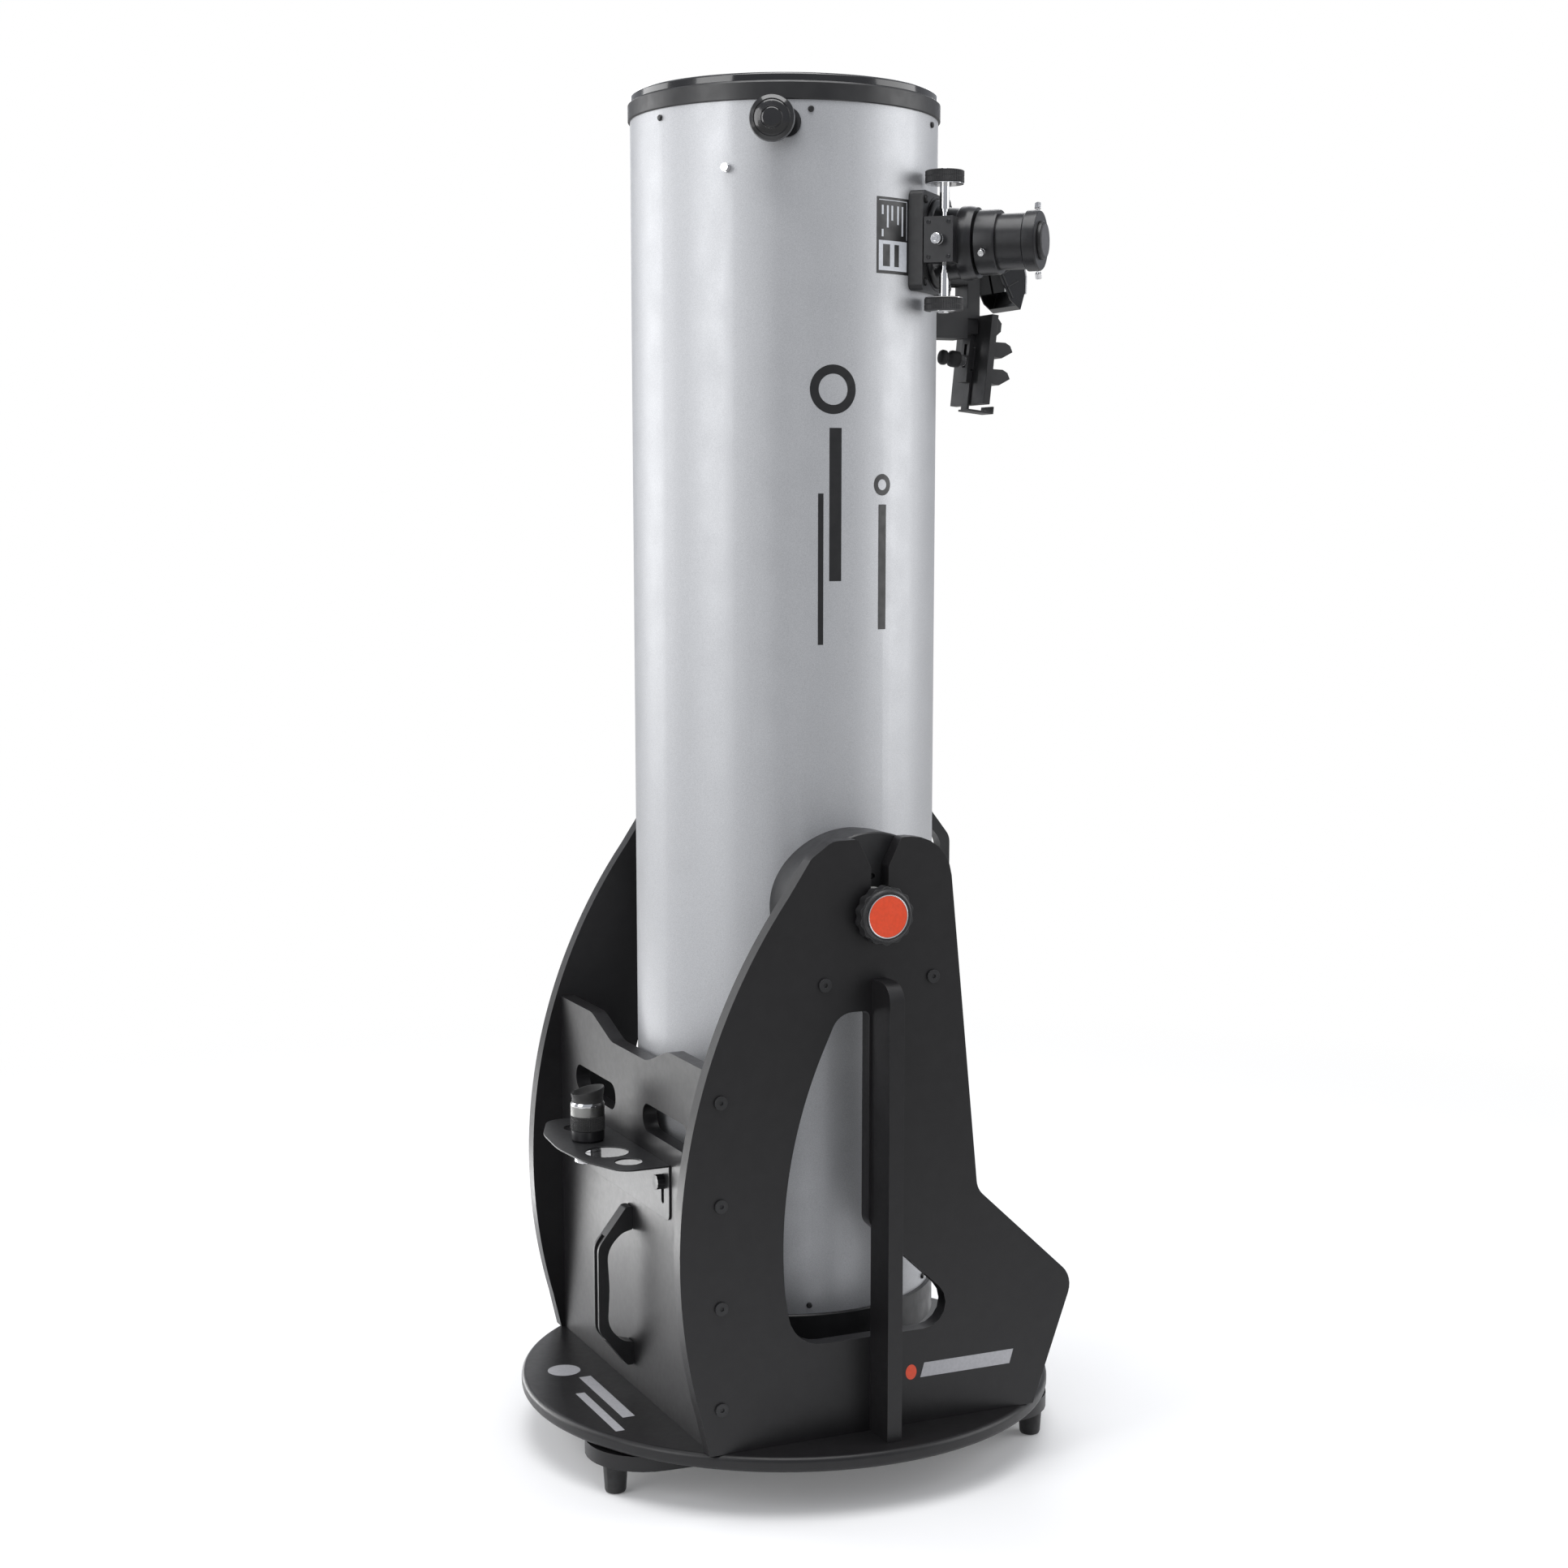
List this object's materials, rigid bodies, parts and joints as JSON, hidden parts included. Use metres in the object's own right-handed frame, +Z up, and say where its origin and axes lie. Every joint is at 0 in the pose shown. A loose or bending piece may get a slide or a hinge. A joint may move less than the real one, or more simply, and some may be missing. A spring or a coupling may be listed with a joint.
{
  "type": "dobsonian telescope",
  "caption": "Large Newtonian telescope tube on a turning two-armed rocker base, with a sliding focuser, a phone dock and an eyepiece rack.",
  "frame": {"origin": "where the azimuth axis meets the floor", "axes": "+Z up along the azimuth axis; X along the altitude axis; -Y towards the front board and the eyepiece rack; +Y the open side of the rocker"},
  "size_m": [0.6499, 0.65, 1.591],
  "materials": {
    "board": "satin black laminate",
    "silver_tube": "metallic silver paint",
    "black_metal": "fine satin powder coat",
    "anodised": "black anodised",
    "black_plastic": "fine texture",
    "gloss_plastic": "gloss",
    "rubber": "matt",
    "chrome": "polished",
    "steel": "zinc plated",
    "cast": "satin",
    "nylon": "smooth",
    "mirror": "aluminised"
  },
  "bodies": {
    "ground": {"ground_board": "board", "ground_feet": "rubber", "azimuth_pads": "nylon", "azimuth_bolt": "steel", "azimuth_nut": "steel"},
    "rocker": {"azimuth_board": "board", "azimuth_bushing": "nylon", "right_side_board": "board", "left_side_board": "board", "front_board": "board", "side_braces": "board", "base_screws": "black_metal", "bearing_posts": "black_plastic", "base_handle": "black_plastic", "eyepiece_rack": "black_metal", "rack_knobs": "black_plastic"},
    "carriage": {"friction_washers": "nylon"},
    "tube": {"tube_shell": "silver_tube", "top_ring": "black_plastic", "bottom_ring": "black_plastic", "tube_screws": "black_metal", "cell_frame": "cast", "mirror_plate": "cast", "primary_mirror": "mirror", "mirror_clips": "black_plastic", "collimation_springs": "steel", "lock_screws": "black_metal", "spider": "black_metal", "spider_nuts": "chrome", "secondary_holder": "black_plastic", "secondary_mirror": "mirror", "secondary_screws": "steel", "altitude_bearings": "black_plastic", "bearing_screws": "black_metal", "tube_handle": "black_plastic", "pointing_knob": "gloss_plastic", "focuser_base": "black_metal", "focuser_body": "anodised", "dock_bracket": "black_plastic", "dock_arm": "black_plastic", "dock_housing": "gloss_plastic", "dock_mirror": "mirror"},
    "right_knob": {"right_tension_knob": "black_plastic"},
    "left_knob": {"left_tension_knob": "black_plastic"},
    "collimation_a": {"collimation_knob_a": "black_plastic"},
    "collimation_b": {"collimation_knob_b": "black_plastic"},
    "collimation_c": {"collimation_knob_c": "black_plastic"},
    "drawtube": {"drawtube": "anodised", "eyepiece_adapter": "anodised", "clamp_screws": "chrome"},
    "focus_spindle": {"focus_shaft": "chrome", "focus_knobs": "black_plastic"},
    "focus_lock": {"focuser_lock_screw": "chrome"},
    "plug": {"focuser_plug": "black_plastic"},
    "cover": {"dust_cover": "gloss_plastic"},
    "eyepiece": {"eyepiece": "anodised", "eyecup": "rubber"},
    "tray": {"phone_tray": "black_plastic"},
    "clamp": {"phone_clamp": "black_plastic"},
    "tray_knob": {"dock_knob": "rubber"}
  },
  "joints": [
    {"name": "azimuth", "type": "hinge", "parent": "ground", "child": "rocker", "pos_m": [0, 0, 0.056], "axis": [0, 0, 1], "continuous": true},
    {"name": "tube_lift", "type": "slide", "parent": "rocker", "child": "carriage", "axis": [0, 0, 1], "range_m": [0, 0.65]},
    {"name": "altitude", "type": "hinge", "parent": "carriage", "child": "tube", "pos_m": [0, 0, 0.675], "axis": [1, 0, 0], "range_deg": [0, 90]},
    {"name": "right_tension", "type": "hinge", "parent": "tube", "child": "right_knob", "pos_m": [0.258, 0, 0.675], "axis": [1, 0, 0], "range_deg": [-180, 180]},
    {"name": "left_tension", "type": "hinge", "parent": "tube", "child": "left_knob", "pos_m": [-0.258, 0, 0.675], "axis": [-1, 0, 0], "range_deg": [-180, 180]},
    {"name": "collimation_turn_a", "type": "hinge", "parent": "tube", "child": "collimation_a", "pos_m": [0, 0.125, 0.149], "axis": [0, 0, 1], "range_deg": [-180, 180]},
    {"name": "collimation_turn_b", "type": "hinge", "parent": "tube", "child": "collimation_b", "pos_m": [-0.10825, -0.0625, 0.149], "axis": [0, 0, 1], "range_deg": [-180, 180]},
    {"name": "collimation_turn_c", "type": "hinge", "parent": "tube", "child": "collimation_c", "pos_m": [0.10825, -0.0625, 0.149], "axis": [0, 0, 1], "range_deg": [-180, 180]},
    {"name": "focus_travel", "type": "slide", "parent": "tube", "child": "drawtube", "axis": [0.7071, 0.7071, 0], "range_m": [0, 0.038]},
    {"name": "focus_turn", "type": "hinge", "parent": "tube", "child": "focus_spindle", "pos_m": [0.1662, 0.12229, 1.42], "axis": [0, 0, 1], "range_deg": [-730, 0]},
    {"name": "focus_lock_turn", "type": "hinge", "parent": "tube", "child": "focus_lock", "pos_m": [0.18243, 0.10607, 1.42], "axis": [0.7071, -0.7071, 0], "range_deg": [0, 360]},
    {"name": "plug_pull", "type": "slide", "parent": "drawtube", "child": "plug", "axis": [0.7071, 0.7071, 0], "range_m": [0, 0.04]},
    {"name": "cover_lift", "type": "slide", "parent": "tube", "child": "cover", "axis": [0, 0, 1], "range_m": [0, 0.06]},
    {"name": "eyepiece_lift", "type": "slide", "parent": "rocker", "child": "eyepiece", "axis": [0, 0, 1], "range_m": [0, 0.1]},
    {"name": "tray_slide", "type": "slide", "parent": "tube", "child": "tray", "axis": [0, 0.1045, 0.9945], "range_m": [0, 0.01]},
    {"name": "clamp_pull", "type": "slide", "parent": "tray", "child": "clamp", "axis": [0, -0.1045, -0.9945], "range_m": [0, 0.02], "stiffness_N_per_m": 60, "springref_m": -0.012},
    {"name": "tray_knob_turn", "type": "hinge", "parent": "tray", "child": "tray_knob", "pos_m": [0, 0.2491, 1.29936], "axis": [0, -0.9945, 0.1045], "range_deg": [-180, 180]}
  ],
  "couplings": [
    {"joint": "focus_turn", "follows": "focus_travel", "rad_per_m": -333.33}
  ]
}
